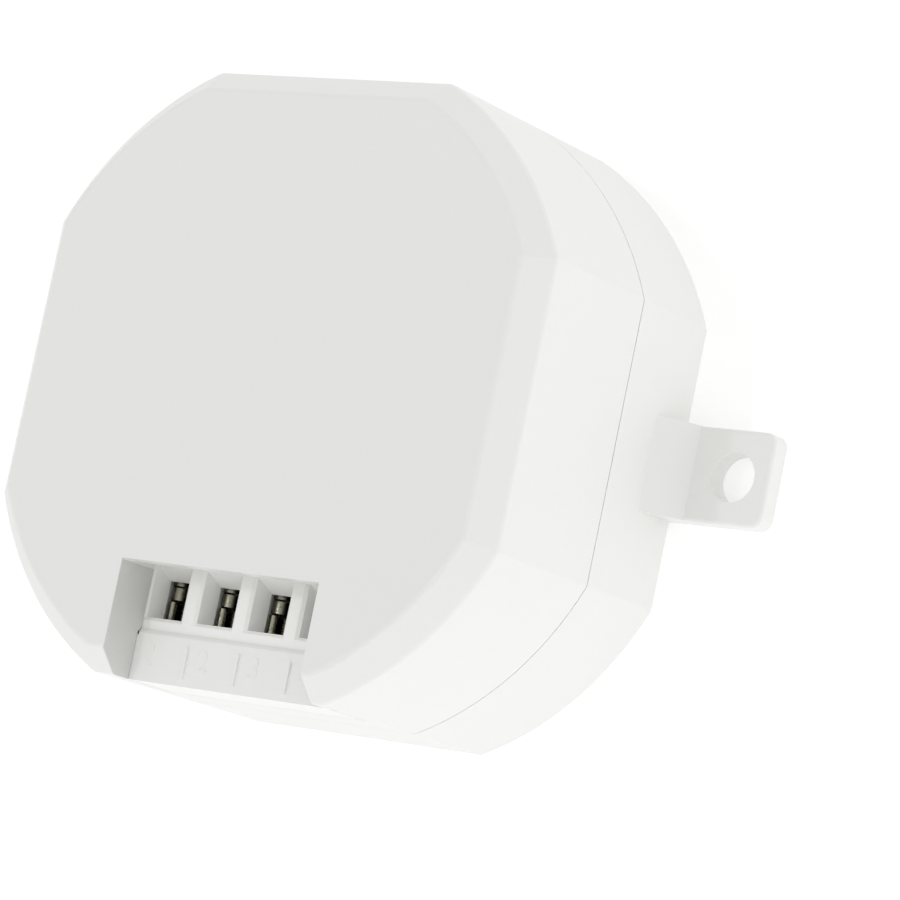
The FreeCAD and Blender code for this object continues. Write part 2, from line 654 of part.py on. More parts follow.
LEADS = {
    "film": pair_of_leads(FILM, "x", "film_pitch"),
    "choke": pair_of_leads(CHOKE, "x", "choke_pitch"),
    "can": pair_of_leads(CAN, "x", "can_pitch"),
    "fuse": pair_of_leads(FUSE, "y", "fuse_pitch"),
    "disc": pair_of_leads(DISC, "x", "disc_pitch"),
}
for number, x in enumerate(FETS, start=1):
    LEADS["fet_%d" % number] = [
        ("%s + (%d) * fet_pitch" % (x, step), "sink_y - fet_lead") for step in (-1, 0, 1)
    ]
board = rounded_square("wall + board_gap", ("board_z", BOARD_TOP))
board_holes = [rod("z", spot, "peg_r + fit_gap", ("board_z - 1", BOARD_TOP + " + 1")) for spot in CORNERS]
for spots in LEADS.values():
    board_holes += [rod("z", spot, "lead_hole_r", ("board_z - 1", BOARD_TOP + " + 1")) for spot in spots]
for number in POLES:
    board_holes.append(
        rod("z", (pole(number), "bar_low + bar_t / 2"), "1.5 * pin_half", ("board_z - 1", BOARD_TOP + " + 1"))
    )
finish(cut(board, board_holes), "circuit_board")

film = block(
    (FILM[0] + " - film_w / 2", FILM[0] + " + film_w / 2"),
    (FILM[1] + " - film_t / 2", FILM[1] + " + film_t / 2"),
    (SEAT, FRONT_INSIDE + " - film_clear"),
)
finish(join([film] + leads(LEADS["film"], SEAT + " + 0.5")), "film_capacitor")

choke_top = FRONT_INSIDE + " - choke_clear"
core = join([
    rod("z", CHOKE, "choke_core_r", (SEAT, choke_top)),
    rod("z", CHOKE, "choke_r", (SEAT, SEAT + " + choke_flange")),
    rod("z", CHOKE, "choke_r", (choke_top + " - choke_flange", choke_top)),
] + leads(LEADS["choke"], SEAT + " + 0.5"))
finish(core, "choke_core")
coil_z = (SEAT + " + choke_flange + fit_gap", choke_top + " - choke_flange - fit_gap")
coil = cut(
    rod("z", CHOKE, "coil_r", coil_z),
    [rod("z", CHOKE, "choke_core_r + fit_gap", (SEAT, choke_top))],
)
finish(coil, "choke_winding")

can = rod("z", CAN, "can_r", (SEAT, FRONT_INSIDE + " - can_clear"))
crimp = cut(
    rod("z", CAN, "can_r + 0.5", (SEAT + " + 1.6", SEAT + " + 2.2")),
    [rod("z", CAN, "can_r - 0.3", (SEAT, SEAT + " + 3"))],
)
finish(join([cut(can, [crimp])] + leads(LEADS["can"], SEAT + " + 0.5")), "electrolytic_capacitor")

fuse = rod("z", FUSE, "fuse_r", (SEAT, SEAT + " + fuse_h"))
finish(join([fuse] + leads(LEADS["fuse"], SEAT + " + 0.5")), "fuse")

disc = rod(
    "y",
    (DISC[0], SEAT + " + disc_r"),
    "disc_r",
    (DISC[1] + " - disc_t / 2", DISC[1] + " + disc_t / 2"),
)
finish(join([disc] + leads(LEADS["disc"], SEAT + " + disc_r")), "varistor")

bolt_z = FRONT_INSIDE + " - fet_clear - bolt_drop"
sink = block(SINK, ("sink_y", "sink_y + sink_t"), (SEAT, FRONT_INSIDE + " - sink_clear"))
sink_holes = [
    rod("y", (x, bolt_z), "bolt_r + fit_gap", ("sink_y - 1", "sink_y + sink_t + 1")) for x in FETS
]
finish(cut(sink, sink_holes), "heat_sink")
bolts = []
for number, x in enumerate(FETS, start=1):
    fet = block(
        ("%s - %s / 2" % (x, FET_WIDTH), "%s + %s / 2" % (x, FET_WIDTH)),
        ("sink_y - fit_gap - fet_t", "sink_y - fit_gap"),
        (SEAT + " + 1", FRONT_INSIDE + " - fet_clear"),
    )
    hole = rod("y", (x, bolt_z), "bolt_r + fit_gap", ("sink_y - fet_t - 1", "sink_y + 1"))
    legs = leads(LEADS["fet_%d" % number], SEAT + " + 1.5")
    finish(join([cut(fet, [hole])] + legs), "power_transistor_%d" % number)
    bolts.append(join([
        rod("y", (x, bolt_z), "bolt_r", ("sink_y - 2 * fit_gap - fet_t - 0.2", "sink_y + sink_t")),
        rod(
            "y",
            (x, bolt_z),
            "bolt_head_r",
            ("sink_y - 2 * fit_gap - fet_t - bolt_head_t", "sink_y - 2 * fit_gap - fet_t"),
        ),
    ]))
pair = doc.addObject("Part::Compound", "pair")
pair.Links = bolts
finish(pair, "transistor_screws")

chip_z = (BOARD_TOP + " + fit_gap", BOARD_TOP + " + fit_gap + chip_h")
chip = block(
    (CHIP[0] + " - chip_l / 2", CHIP[0] + " + chip_l / 2"),
    (CHIP[1] + " - chip_w / 2", CHIP[1] + " + chip_w / 2"),
    chip_z,
)
chip_legs = [
    block(
        ("%s + %g - 0.2" % (CHIP[0], step * 1.27), "%s + %g + 0.2" % (CHIP[0], step * 1.27)),
        (CHIP[1] + " - chip_w / 2 - chip_leg", CHIP[1] + " + chip_w / 2 + chip_leg"),
        (chip_z[0], chip_z[0] + " + 0.25"),
    )
    for step in (-3, -2, -1, 0, 1, 2, 3)
]
finish(join([chip] + chip_legs), "controller_chip")

# Radio daughter board standing at the +X wall.
radio_low = FUSE[1] + " + fuse_r + radio_gap"
radio = block(
    ("radio_x", "radio_x + radio_t"),
    (radio_low, radio_low + " + radio_l"),
    (BOARD_TOP + " + fit_gap", FRONT_INSIDE + " - radio_clear"),
)
finish(radio, "radio_board")
radio_face = "radio_x - fit_gap"
radio_chip = block(
    (radio_face + " - 1", radio_face),
    (radio_low + " + 4.2", radio_low + " + 9.2"),
    (BOARD_TOP + " + 4", BOARD_TOP + " + 9"),
)
finish(radio_chip, "radio_chip")
crystal = block(
    (radio_face + " - 1.2", radio_face),
    (radio_low + " + 0.6", radio_low + " + 3"),
    (BOARD_TOP + " + 4", BOARD_TOP + " + 7.2"),
)
finish(crystal, "crystal")
antenna_x = ("radio_x + radio_t + 0.9", "radio_x + radio_t + 1.3")
antenna_end = (radio_low + " + radio_l - 1.2", radio_low + " + radio_l - 0.4")
antenna = join([
    block(antenna_x, antenna_end, (BOARD_TOP + " + 2", BOARD_TOP + " + 11")),
    block(
        ("radio_x + radio_t + fit_gap", antenna_x[1]),
        antenna_end,
        (BOARD_TOP + " + 2", BOARD_TOP + " + 2.8"),
    ),
    block(antenna_x, (radio_low + " + 0.2", antenna_end[1]), (BOARD_TOP + " + 10.2", BOARD_TOP + " + 11")),
])
finish(antenna, "antenna_strip")

# Mounting side: insulating sheet, push button, status light and blank label.
sheet_holes = [rod("z", spot, "post_r + 0.3", ("0", "board_z")) for spot in CORNERS]
sheet_holes.append(rod("z", ("button_x", "button_y"), "button_flange + 0.3", ("0", "board_z")))
sheet_holes.append(rod("z", ("pipe_x", "pipe_y"), "pipe_r + 0.9", ("0", "board_z")))
film_sheet = rounded_square("wall + board_gap", ("wall + fit_gap", "wall + fit_gap + sheet_t"))
finish(cut(film_sheet, sheet_holes), "insulating_sheet")

button = ("button_x", "button_y")
switch_low = "board_z - switch_h"
switch = cut(
    block(
        ("button_x - switch_half", "button_x + switch_half"),
        ("button_y - switch_half", "button_y + switch_half"),
        (switch_low, "board_z - fit_gap"),
    ),
    [rod("z", button, "stem_r + button_gap", (switch_low + " - 1", switch_low + " + 1.4"))],
)
finish(switch, "button_switch")
cap_pieces = [
    rod("z", button, "button_r", ("button_sunk", "wall + 0.3")),
    rod("z", button, "button_flange", ("wall + fit_gap", "wall + fit_gap + 0.7")),
    rod("z", button, "stem_r", ("wall + 0.5", switch_low + " + 0.5")),
]
finish(join(cap_pieces), "button_cap")

pipe = ("pipe_x", "pipe_y")
led = block(
    ("pipe_x - 1", "pipe_x + 1"),
    ("pipe_y - 0.6", "pipe_y + 0.6"),
    ("board_z - 0.9", "board_z - fit_gap"),
)
finish(led, "status_led")
pipe_pieces = [
    rod("z", pipe, "pipe_r", ("0.05", "board_z - 1.1")),
    rod("z", pipe, "pipe_r + 0.6", ("wall + fit_gap", "wall + fit_gap + 0.6")),
]
finish(join(pipe_pieces), "light_pipe")
label = block(
    ("label_x - label_w / 2", "label_x + label_w / 2"),
    around("label_h / 2"),
    ("0", "label_t"),
)
finish(label, "rating_label")

doc.recompute()
for obj in doc.Objects:
    if "Invalid" in obj.State or "Error" in obj.State:
        raise RuntimeError("feature failed: " + obj.Name)
for node in NODES:
    if node.Shape.isNull() or not node.Shape.isValid():
        raise RuntimeError("bad shape: " + node.Label)
    node.Shape.exportStep("parts/%s.step" % node.Label)
    box = node.Shape.BoundBox
    print("%-24s solids %d volume %9.2f  z %6.2f..%6.2f" % (
        node.Label, len(node.Shape.Solids), node.Shape.Volume, box.ZMin, box.ZMax))
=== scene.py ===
import bmesh
import bpy
import numpy as np
from bpy.props import FloatProperty, FloatVectorProperty, IntProperty, PointerProperty
from mathutils import Matrix, Vector


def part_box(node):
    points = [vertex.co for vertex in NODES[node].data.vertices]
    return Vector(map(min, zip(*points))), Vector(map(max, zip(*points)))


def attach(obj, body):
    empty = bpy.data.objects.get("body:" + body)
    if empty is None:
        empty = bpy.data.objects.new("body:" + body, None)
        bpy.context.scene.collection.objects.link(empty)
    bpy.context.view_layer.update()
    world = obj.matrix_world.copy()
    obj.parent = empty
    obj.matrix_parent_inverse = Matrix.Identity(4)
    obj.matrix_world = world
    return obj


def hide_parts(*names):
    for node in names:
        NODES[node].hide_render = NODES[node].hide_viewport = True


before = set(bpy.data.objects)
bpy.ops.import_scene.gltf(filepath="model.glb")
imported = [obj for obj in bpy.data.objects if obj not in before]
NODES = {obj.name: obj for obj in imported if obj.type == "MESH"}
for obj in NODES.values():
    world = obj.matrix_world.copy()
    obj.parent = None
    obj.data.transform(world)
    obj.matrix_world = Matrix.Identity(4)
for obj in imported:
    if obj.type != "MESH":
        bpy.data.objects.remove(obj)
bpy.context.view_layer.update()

bl_info = {
    "name": "In-wall dimmer module",
    "version": (1, 0, 0),
    "blender": (4, 5, 0),
    "location": "3D View > Sidebar > Dimmer",
    "description": "Dresses the dimmer module in its plastics and metals, and sets the studio",
    "category": "Object",
}

MM = 0.001
POLES = (1, 2, 3, 4)

# Places of the fine detail against the solids, in millimetres
# The recess box also bounds the painted shade that darkens the front shell's recess walls
RECESS = ((-9.4, -24.6, 14.95), (10.25, -15.6, 24.15))  # box round the walls of the recess
RULE_HEIGHT = 0.2     # dividing rules above the marking strip
THREAD_START = 0.9    # first turn from the screw side of a cage
JAW_THICK = 1.0       # jaw from the outer side of a cage to the wire
RIBS_INSET = 0.85     # ribs of a jaw from the sides of its cage
RIBS_TOP = 1.15       # ribs of a jaw below the crest of its cage
SUNK = 0.1            # detail sunk into its solid
CHOKE_BORE = 3.06     # radius of the bore of the winding
LEAD_PITCH = 2.54     # between the leads of a transistor
LEAD_INSET = 1.94     # leads of a transistor from its cooled side


# Shader expressions

class Link:
    """A shader value read from a socket, with arithmetic that adds Math nodes."""

    def __init__(self, sheet, value):
        self.sheet = sheet
        self.value = value

    def math(self, operation, *others, clamp=False):
        return self.sheet.node(
            "ShaderNodeMath", {"operation": operation, "use_clamp": clamp}, [self, *others])

    def __add__(self, other):
        return self.math("ADD", other)

    def __radd__(self, other):
        return self.math("ADD", other)

    def __sub__(self, other):
        return self.math("SUBTRACT", other)

    def __rsub__(self, other):
        return self.sheet.node("ShaderNodeMath", {"operation": "SUBTRACT"}, [other, self])

    def __mul__(self, other):
        return self.math("MULTIPLY", other)

    def __rmul__(self, other):
        return self.math("MULTIPLY", other)

    def __truediv__(self, other):
        return self.math("DIVIDE", other)

    def __gt__(self, other):
        return self.math("GREATER_THAN", other)

    def __lt__(self, other):
        return self.math("LESS_THAN", other)

    def power(self, other):
        return self.math("POWER", other)

    def absolute(self):
        return self.math("ABSOLUTE")

    def clamp(self):
        return self.math("ADD", 0.0, clamp=True)

    def step(self, low, high):
        """Smooth ramp from 0 at low to 1 at high."""
        inputs = {"Value": self, "From Min": low, "From Max": high}
        return self.sheet.node("ShaderNodeMapRange", {"interpolation_type": "SMOOTHSTEP"}, inputs)


class Sheet:
    """A node tree being drawn up: makes nodes and joins them to its shader."""

    def __init__(self, tree, shader):
        self.tree = tree
        self.shader = tree.nodes[shader]

    def node(self, kind, settings=None, inputs=(), out=0):
        """Adds a node: settings first, then the values or links of its sockets."""
        node = self.tree.nodes.new(kind)
        for key, value in (settings or {}).items():
            setattr(node, key, value)
        pairs = inputs.items() if isinstance(inputs, dict) else enumerate(inputs)
        for key, value in pairs:
            if isinstance(value, Link):
                self.tree.links.new(value.value, node.inputs[key])
            else:
                node.inputs[key].default_value = value
        return Link(self, node.outputs[out])

    def split(self, vector):
        """The three parts of a vector."""
        parts = self.node("ShaderNodeSeparateXYZ", {}, [vector]).value.node.outputs
        return [Link(self, part) for part in parts]

    def mix(self, amount, first, second):
        """Colour between first and second."""
        first = first if isinstance(first, Link) else (*first, 1.0)
        second = second if isinstance(second, Link) else (*second, 1.0)
        inputs = {0: amount, 6: first, 7: second}
        return self.node("ShaderNodeMix", {"data_type": "RGBA"}, inputs, out=2)

    def join(self, socket, value):
        """Links or sets one socket of the shader."""
        if isinstance(value, Link):
            self.tree.links.new(value.value, self.shader.inputs[socket])
        elif self.shader.inputs[socket].type == "RGBA":
            self.shader.inputs[socket].default_value = (*value, 1.0)
        else:
            self.shader.inputs[socket].default_value = value

    def backdrop_rays(self):
        """1 for the rays that show the plain backdrop: seen, mirrored or through glass."""
        rays = self.node("ShaderNodeLightPath").value.node.outputs
        kinds = ("Is Camera Ray", "Is Glossy Ray", "Is Transmission Ray")
        seen, mirrored, through = [Link(self, rays[kind]) for kind in kinds]
        return seen.math("MAXIMUM", mirrored).math("MAXIMUM", through)


class Finish(Sheet):
    """One material, patterned in millimetres from the object's own frame."""

    def __init__(self, name):
        self.material = bpy.data.materials.new(name)
        self.material.use_nodes = True
        super().__init__(self.material.node_tree, "Principled BSDF")
        frame_place = self.node("ShaderNodeTexCoord", out="Object")
        self.place = self.node(
            "ShaderNodeVectorMath", {"operation": "SCALE"}, {0: frame_place, "Scale": 1000.0})

    def noise(self, scale, detail=2.0, place=None):
        inputs = {"Vector": place or self.place, "Scale": scale, "Detail": detail}
        return self.node("ShaderNodeTexNoise", {}, inputs)

    def axes(self):
        return self.split(self.place)

    def inside(self, low, high):
        """1 inside a box in millimetres, 0 outside it."""
        mask = 1.0
        for value, start, end in zip(self.axes(), low, high):
            mask = (value > start) * (value < end) * mask
        return mask

    def bump(self, height, depth_mm):
        inputs = {"Height": height, "Distance": depth_mm * MM}
        self.join("Normal", self.node("ShaderNodeBump", {}, inputs))

    def plain(self, **sockets):
        for name, value in sockets.items():
            self.join(name.replace("_", " ").title().replace("Ior", "IOR"), value)


def moulded_plastic(name, colour, rough=0.42, grain=0.012, shade=0.03, painted_recess_shade=None):
    """Spark-textured moulding: fine grain with pits, slow tone drift and faint clouds.

    The last argument is a box in millimetres and how much darker painted shade makes the plastic
    inside it, standing in for the shade on the recess walls.
    """
    finish = Finish(name)
    drift = finish.noise(0.06, 3.0)
    cloud = finish.noise(0.9, 4.0)
    tone = (drift - 0.5) * shade + (cloud - 0.5) * (shade * 0.3)
    deep = tuple(channel * (1.0 - 1.6 * shade) for channel in colour)
    light = tuple(min(1.0, channel * (1.0 + 0.6 * shade)) for channel in colour)
    base = finish.mix((tone * 12.0 + 0.5).clamp(), deep, light)
    if painted_recess_shade:
        low, high, amount = painted_recess_shade
        # Painted shade: inside the box the plastic is mixed toward a dark green-grey, standing in for
        # the shade in the recess.
        base = finish.mix(finish.inside(low, high) * amount, base, (0.04, 0.05, 0.03))
    finish.join("Base Color", base)
    fine = finish.noise(7.0, 3.0)
    pits = finish.noise(18.0, 1.0)
    finish.join("Roughness", rough + (fine - 0.5) * 0.12)
    finish.bump(fine * 0.7 + pits * 0.3, grain)
    finish.plain(specular_ior_level=0.42)
    return finish.material


def plated_metal(name, colour, rough=0.3, brush=(3.0, 40.0, 3.0), painted_shade_heights=None):
    """Dull plating with drawn lines and small tarnish spots.

    The last argument gives two heights in millimetres: painted shade makes the plating dark below the
    first, standing in for the shade deep in the clamp windows, and above the second the plating has
    its full, bright colour.
    """
    finish = Finish(name)
    stretched = finish.node(
        "ShaderNodeVectorMath", {"operation": "MULTIPLY"}, {0: finish.place, 1: brush})
    lines = finish.noise(1.0, 3.0, stretched)
    spots = finish.noise(2.4, 4.0).step(0.55, 0.72)
    dark = tuple(channel * 0.55 for channel in colour)
    base = finish.mix(spots * 0.75, colour, dark)
    if painted_shade_heights:
        # Painted shade: the plating darkens with depth below the crest, standing in for the shade
        # inside the clamp windows.
        deep = tuple(channel * 0.16 for channel in colour)
        base = finish.mix(finish.axes()[2].step(*painted_shade_heights), deep, base)
    finish.join("Base Color", base)
    finish.join("Roughness", rough + (lines - 0.5) * 0.2 + spots * 0.15)
    finish.bump(lines, 0.01)
    finish.plain(metallic=1.0)
    return finish.material


def coated(name, colour, rough=0.25, coat=0.5, ripple=0.02):
    """Dipped or cast coating with a soft ripple and a clear top."""
    finish = Finish(name)
    wave = finish.noise(0.8, 2.0)
    speck = finish.noise(9.0, 2.0)
    dark = tuple(channel * 0.8 for channel in colour)
    finish.join("Base Color", finish.mix((speck * 0.5 + wave * 0.5).clamp(), colour, dark))
    finish.join("Roughness", rough + (speck - 0.5) * 0.15)
    finish.bump(wave, ripple)
    finish.plain(coat_weight=coat, coat_roughness=0.15)
    return finish.material


def board_laminate(name, mask, copper):
    """Solder mask over straight copper runs on a 1.27 mm grid, with bare vias."""
    finish = Finish(name)
    x, y, _ = finish.axes()
    cell = 1.27

    def pick(width, height):
        """One chance value for each field of the given size."""
        corner = [(x / width).math("FLOOR"), (y / height).math("FLOOR"), 0.0]
        field = finish.node("ShaderNodeCombineXYZ", {}, corner)
        flat = {"noise_dimensions": "2D"}
        return finish.node("ShaderNodeTexWhiteNoise", flat, {"Vector": field})

    column = pick(cell, cell * 6.0)
    row = pick(cell * 7.0, cell)
    across_x = ((x / cell).math("FRACT") - 0.5).absolute()
    across_y = ((y / cell).math("FRACT") - 0.5).absolute()
    runs = ((across_x < 0.2) * (column > 0.55)).math("MAXIMUM", (across_y < 0.2) * (row > 0.6))
    ring = (across_x * across_x + across_y * across_y).power(0.5)
    via = (ring < 0.24) * (column * row > 0.42)
    lighter = tuple(min(1.0, channel * 1.9 + 0.02) for channel in mask)
    base = finish.mix(runs, mask, lighter)
    finish.join("Base Color", finish.mix(via, base, copper))
    finish.join("Roughness", 0.38 - via * 0.1 + (finish.noise(6.0) - 0.5) * 0.1)
    finish.join("Metallic", via)
    finish.bump(runs + finish.noise(3.0) * 0.2, 0.035)
    return finish.material


def enamel_wire(name, colour):
    """Enamelled copper: warm metal with a thin lacquer."""
    finish = Finish(name)
    tint = finish.noise(1.5, 3.0)
    dark = tuple(channel * 0.6 for channel in colour)
    finish.join("Base Color", finish.mix(tint, colour, dark))
    finish.join("Roughness", 0.28 + (tint - 0.5) * 0.15)
    finish.bump(finish.noise(5.0), 0.01)
    finish.plain(metallic=1.0, coat_weight=0.6, coat_roughness=0.1)
    return finish.material


def sleeved_can(name, sleeve, stripe, centre, top):
    """Shrink sleeve with one pale stripe; bare aluminium on the end face."""
    finish = Finish(name)
    x, y, z = finish.axes()
    side = ((y - centre[1]).absolute() < 1.1) * (x < centre[0])
    dashes = (z / 2.4).math("FRACT") > 0.45
    band = (side * (1.0 - dashes * ((y - centre[1]).absolute() < 0.3))).clamp()
    bare = z > top - 0.05
    body = finish.mix(band, sleeve, stripe)
    finish.join("Base Color", finish.mix(bare, body, (0.72, 0.72, 0.73)))
    finish.join("Metallic", bare)
    finish.join("Roughness", 0.3 + (finish.noise(4.0) - 0.5) * 0.12 + bare * 0.1)
    finish.bump(finish.noise(1.2), 0.03)
    return finish.material


def clear_moulding(name, colour):
    """Water-clear rod with faint flow lines."""
    finish = Finish(name)
    finish.join("Base Color", colour)
    finish.join("Roughness", 0.12 + (finish.noise(3.0) - 0.5) * 0.06)
    finish.bump(finish.noise(1.6, 3.0), 0.01)
    finish.plain(ior=1.49, transmission_weight=0.75)
    return finish.material


def blank_foil(name, colour, box):
    """Matt polyester label: fine paper tooth and a thin pressed margin, no print."""
    finish = Finish(name)
    x, y, _ = finish.axes()
    (x0, x1), (y0, y1) = box
    inside_x = (x - (x0 + x1) / 2).absolute() - (x1 - x0) / 2
    inside_y = (y - (y0 + y1) / 2).absolute() - (y1 - y0) / 2
    edge = inside_x.math("MAXIMUM", inside_y) * -1.0
    margin = (edge > 0.9) * (edge < 1.1)
    tooth = finish.noise(6.0, 4.0)
    dark = tuple(channel * 0.82 for channel in colour)
    finish.join("Base Color", finish.mix(margin * 0.7 + (tooth - 0.5) * 0.15, colour, dark))
    finish.join("Roughness", 0.5 + (tooth - 0.5) * 0.2)
    finish.bump(tooth - margin, 0.02)
    return finish.material


# Surfaces

def surface(name, points, around=False, along=False):
    """Mesh from one grid of points (rows, columns, 3)."""
    return many_surfaces(name, points[None], around, along)


def many_surfaces(name, points, around=False, along=False):
    """Mesh from a stack of equal grids (pieces, rows, columns, 3).

    Rows wrap where around is set, columns where along is set.
    """
    count, rows, columns = points.shape[:3]
    index = np.arange(rows * columns).reshape(rows, columns)
    if around:
        index = np.vstack([index, index[:1]])
    if along:
        index = np.hstack([index, index[:, :1]])
    quads = np.stack([index[:-1, :-1], index[1:, :-1], index[1:, 1:], index[:-1, 1:]], -1)
    offsets = (np.arange(count) * rows * columns)[:, None, None]
    return mesh_piece(name, points.reshape(-1, 3), (quads.reshape(-1, 4) + offsets).reshape(-1, 4))


def mesh_piece(name, points, faces):
    mesh = bpy.data.meshes.new(name)
    mesh.from_pydata(points.tolist(), [], faces.tolist())
    mesh.validate()
    mesh.polygons.foreach_set("use_smooth", np.ones(len(mesh.polygons), bool))
    piece = bpy.data.objects.new(name, mesh)
    bpy.context.scene.collection.objects.link(piece)
    merge_and_face_out(piece)
    return piece


def merge_and_face_out(piece):
    """Closes seams and poles, then turns every face outwards."""
    solid = bmesh.new()
    solid.from_mesh(piece.data)
    bmesh.ops.remove_doubles(solid, verts=solid.verts, dist=2e-7)
    bmesh.ops.recalc_face_normals(solid, faces=solid.faces)
    solid.to_mesh(piece.data)
    solid.free()


def settle(piece, body, material):
    """Gives a new piece its material, its body and the slot of its finish."""
    piece.data.materials.clear()
    piece.data.materials.append(material)
    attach(piece, body)
    return piece


def dress(node, material):
    """Puts a material on a carried-over node."""
    slots = NODES[node].data.materials
    slots.clear()
    slots.append(material)


def middle(node):
    low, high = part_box(node)
    return (low + high) / 2


def thread_ridge(name, centre, radius, span, pitch, height):
    """Screw thread along Y, as one ridge wound round the shank.

    The angle turns with u, and the ridge climbs one pitch per turn. Across the
    ridge its radius starts sunk in the shank, rises to the crest and falls as
    sin(pi * v) ^ 0.8. Both ends fade to nothing over half a turn.
    """
    sunk = 0.03 * MM
    turns = (span[1] - span[0]) / pitch
    u = np.linspace(0.0, 1.0, int(turns * 40))[:, None]
    v = np.linspace(0.0, 1.0, 7)[None, :]
    fade = np.clip(np.minimum(u, 1.0 - u) * turns * 2.0, 0.0, 1.0)
    rise = np.sin(np.pi * v) ** 0.8
    angle = 2.0 * np.pi * turns * u
    reach = radius - sunk + (height + sunk) * fade * rise
    width = 0.72 * pitch
    y = span[0] + (span[1] - span[0]) * u + (v - 0.5) * width * fade
    grid = np.stack(np.broadcast_arrays(
        centre[0] + reach * np.cos(angle), y, centre[2] - reach * np.sin(angle)), -1)
    return surface(name, grid, along=True)


def ribbed_plate(name, low, high, ridges, height):
    """Clamp jaw face: a plate whose wire side rises and falls in straight ridges.

    At the position v along the plate the wire side stands out by
    height * |sin(ridges * pi * v)|, and its four edges are pulled back to the plate.
    """
    u = np.linspace(0.0, 1.0, 9)[:, None]
    v = np.linspace(0.0, 1.0, 12 * ridges + 1)[None, :]
    edge = np.clip(np.minimum(np.minimum(u, 1 - u), np.minimum(v, 1 - v)) * 12.0, 0.0, 1.0)
    lift = height * np.abs(np.sin(ridges * np.pi * v)) * edge
    x = low[0] + (high[0] - low[0]) * u
    z = low[2] + (high[2] - low[2]) * v
    front = np.stack(np.broadcast_arrays(x, low[1] - lift, z), -1)
    back = np.stack(np.broadcast_arrays(x, high[1] + 0 * lift, z), -1)
    grid = np.concatenate([front, back[::-1]], 0)
    return surface(name, grid, around=True)


def wound_coil(name, centre, inner, outer, span, turns):
    """Winding of the choke as one closed ring with wires standing out of it.

    Round the axis runs the angle u. The profile v goes up the outside, over the
    top, down the bore and back. On the outside the radius is
    outer - r + r * |cos(turns * pi * v - u / 2)| ^ 0.7, r half a wire, so the
    crests climb one wire for each turn of u.
    """
    wire = (span[1] - span[0]) / turns / 2.0
    steps = 96
    u = np.linspace(0.0, 2.0 * np.pi, steps + 1)[:-1, None]
    v = np.linspace(0.0, 1.0, turns * 10 + 1)[None, :]
    crest = np.abs(np.cos(turns * np.pi * v - u / 2.0)) ** 0.7
    reach = outer - wire + wire * crest
    reach[:, 0] = outer - wire
    reach[:, -1] = outer - wire
    z = span[0] + (span[1] - span[0]) * v + 0 * u
    bore = np.full((steps, 2), inner)
    reach = np.concatenate([reach, bore], 1)
    z = np.concatenate([z, np.full((steps, 1), span[1]), np.full((steps, 1), span[0])], 1)
    grid = np.stack([centre[0] + reach * np.cos(u), centre[1] + reach * np.sin(u), z], -1)
    return surface(name, grid, around=True, along=True)


def solder_cones(name, spots, top, height, radius):
    """Solder fillets under the board: each a surface of revolution about a lead.

    The radius falls from the pad to the lead as radius * (1 - t) ^ 1.8 + lead * t.
    """
    lead = 0.36 * MM
    u = np.linspace(0.0, 2.0 * np.pi, 17)[None, :-1, None]
    t = np.linspace(0.0, 1.0, 7)[None, None, :]
    reach = radius * (1.0 - t) ** 1.8 + lead * t
    reach = np.concatenate([reach, np.zeros((1, 1, 1))], 2)
    drop = np.concatenate([t, np.ones((1, 1, 1))], 2) * height
    spots = np.array(spots)[:, None, None, :]
    x = spots[..., 0] + reach * np.cos(u)
    y = spots[..., 1] + reach * np.sin(u)
    z = top - drop + 0 * x
    return many_surfaces(name, np.stack([x, y, z], -1), around=True)


def chip_parts(name, spots, size):
    """Small chip resistors and capacitors, each a superellipsoid.

    x = a |cos v|^e |cos u|^e, y = b |cos v|^e |sin u|^e and z = c |sin v|^e, with the
    signs of the cosines and sines. The small e makes them blocks with soft edges.
    """
    e = 0.28
    u = np.linspace(0.0, 2.0 * np.pi, 25)[None, :-1, None]
    v = np.linspace(-0.5 * np.pi, 0.5 * np.pi, 11)[None, None, :]

    def bent(value):
        return np.sign(value) * np.abs(value) ** e

    spots = spots[:, None, None, :]
    half = size / 2.0
    x = spots[..., 0] + half[0] * bent(np.cos(v)) * bent(np.cos(u))
    y = spots[..., 1] + half[1] * bent(np.cos(v)) * bent(np.sin(u))
    z = spots[..., 2] + half[2] * bent(np.sin(v)) * (1.0 + 0.0 * u)
    return many_surfaces(name, np.stack(np.broadcast_arrays(x, y, z), -1), around=True)


# Settings

class HousingSettings(bpy.types.PropertyGroup):
    shell_colour: FloatVectorProperty(
        name="Shell colour", description="Colour of both shells and the cover", subtype="COLOR",
        size=3, min=0.0, max=1.0, default=(0.86, 0.86, 0.843))
    block_colour: FloatVectorProperty(
        name="Terminal block colour", description="Colour of the terminal block", subtype="COLOR",
        size=3, min=0.0, max=1.0, default=(0.955, 0.955, 0.935))
    shell_roughness: FloatProperty(
        name="Shell roughness", description="Roughness of the moulded shells",
        min=0.0, max=1.0, default=0.45)
    recess_shade: FloatProperty(
        name="Recess shade", description="How much darker the walls of the terminal recess are",
        min=0.0, max=1.0, default=0.25)
    grain: FloatProperty(
        name="Grain depth (mm)", description="Depth of the moulded texture",
        min=0.0, max=0.1, default=0.012)


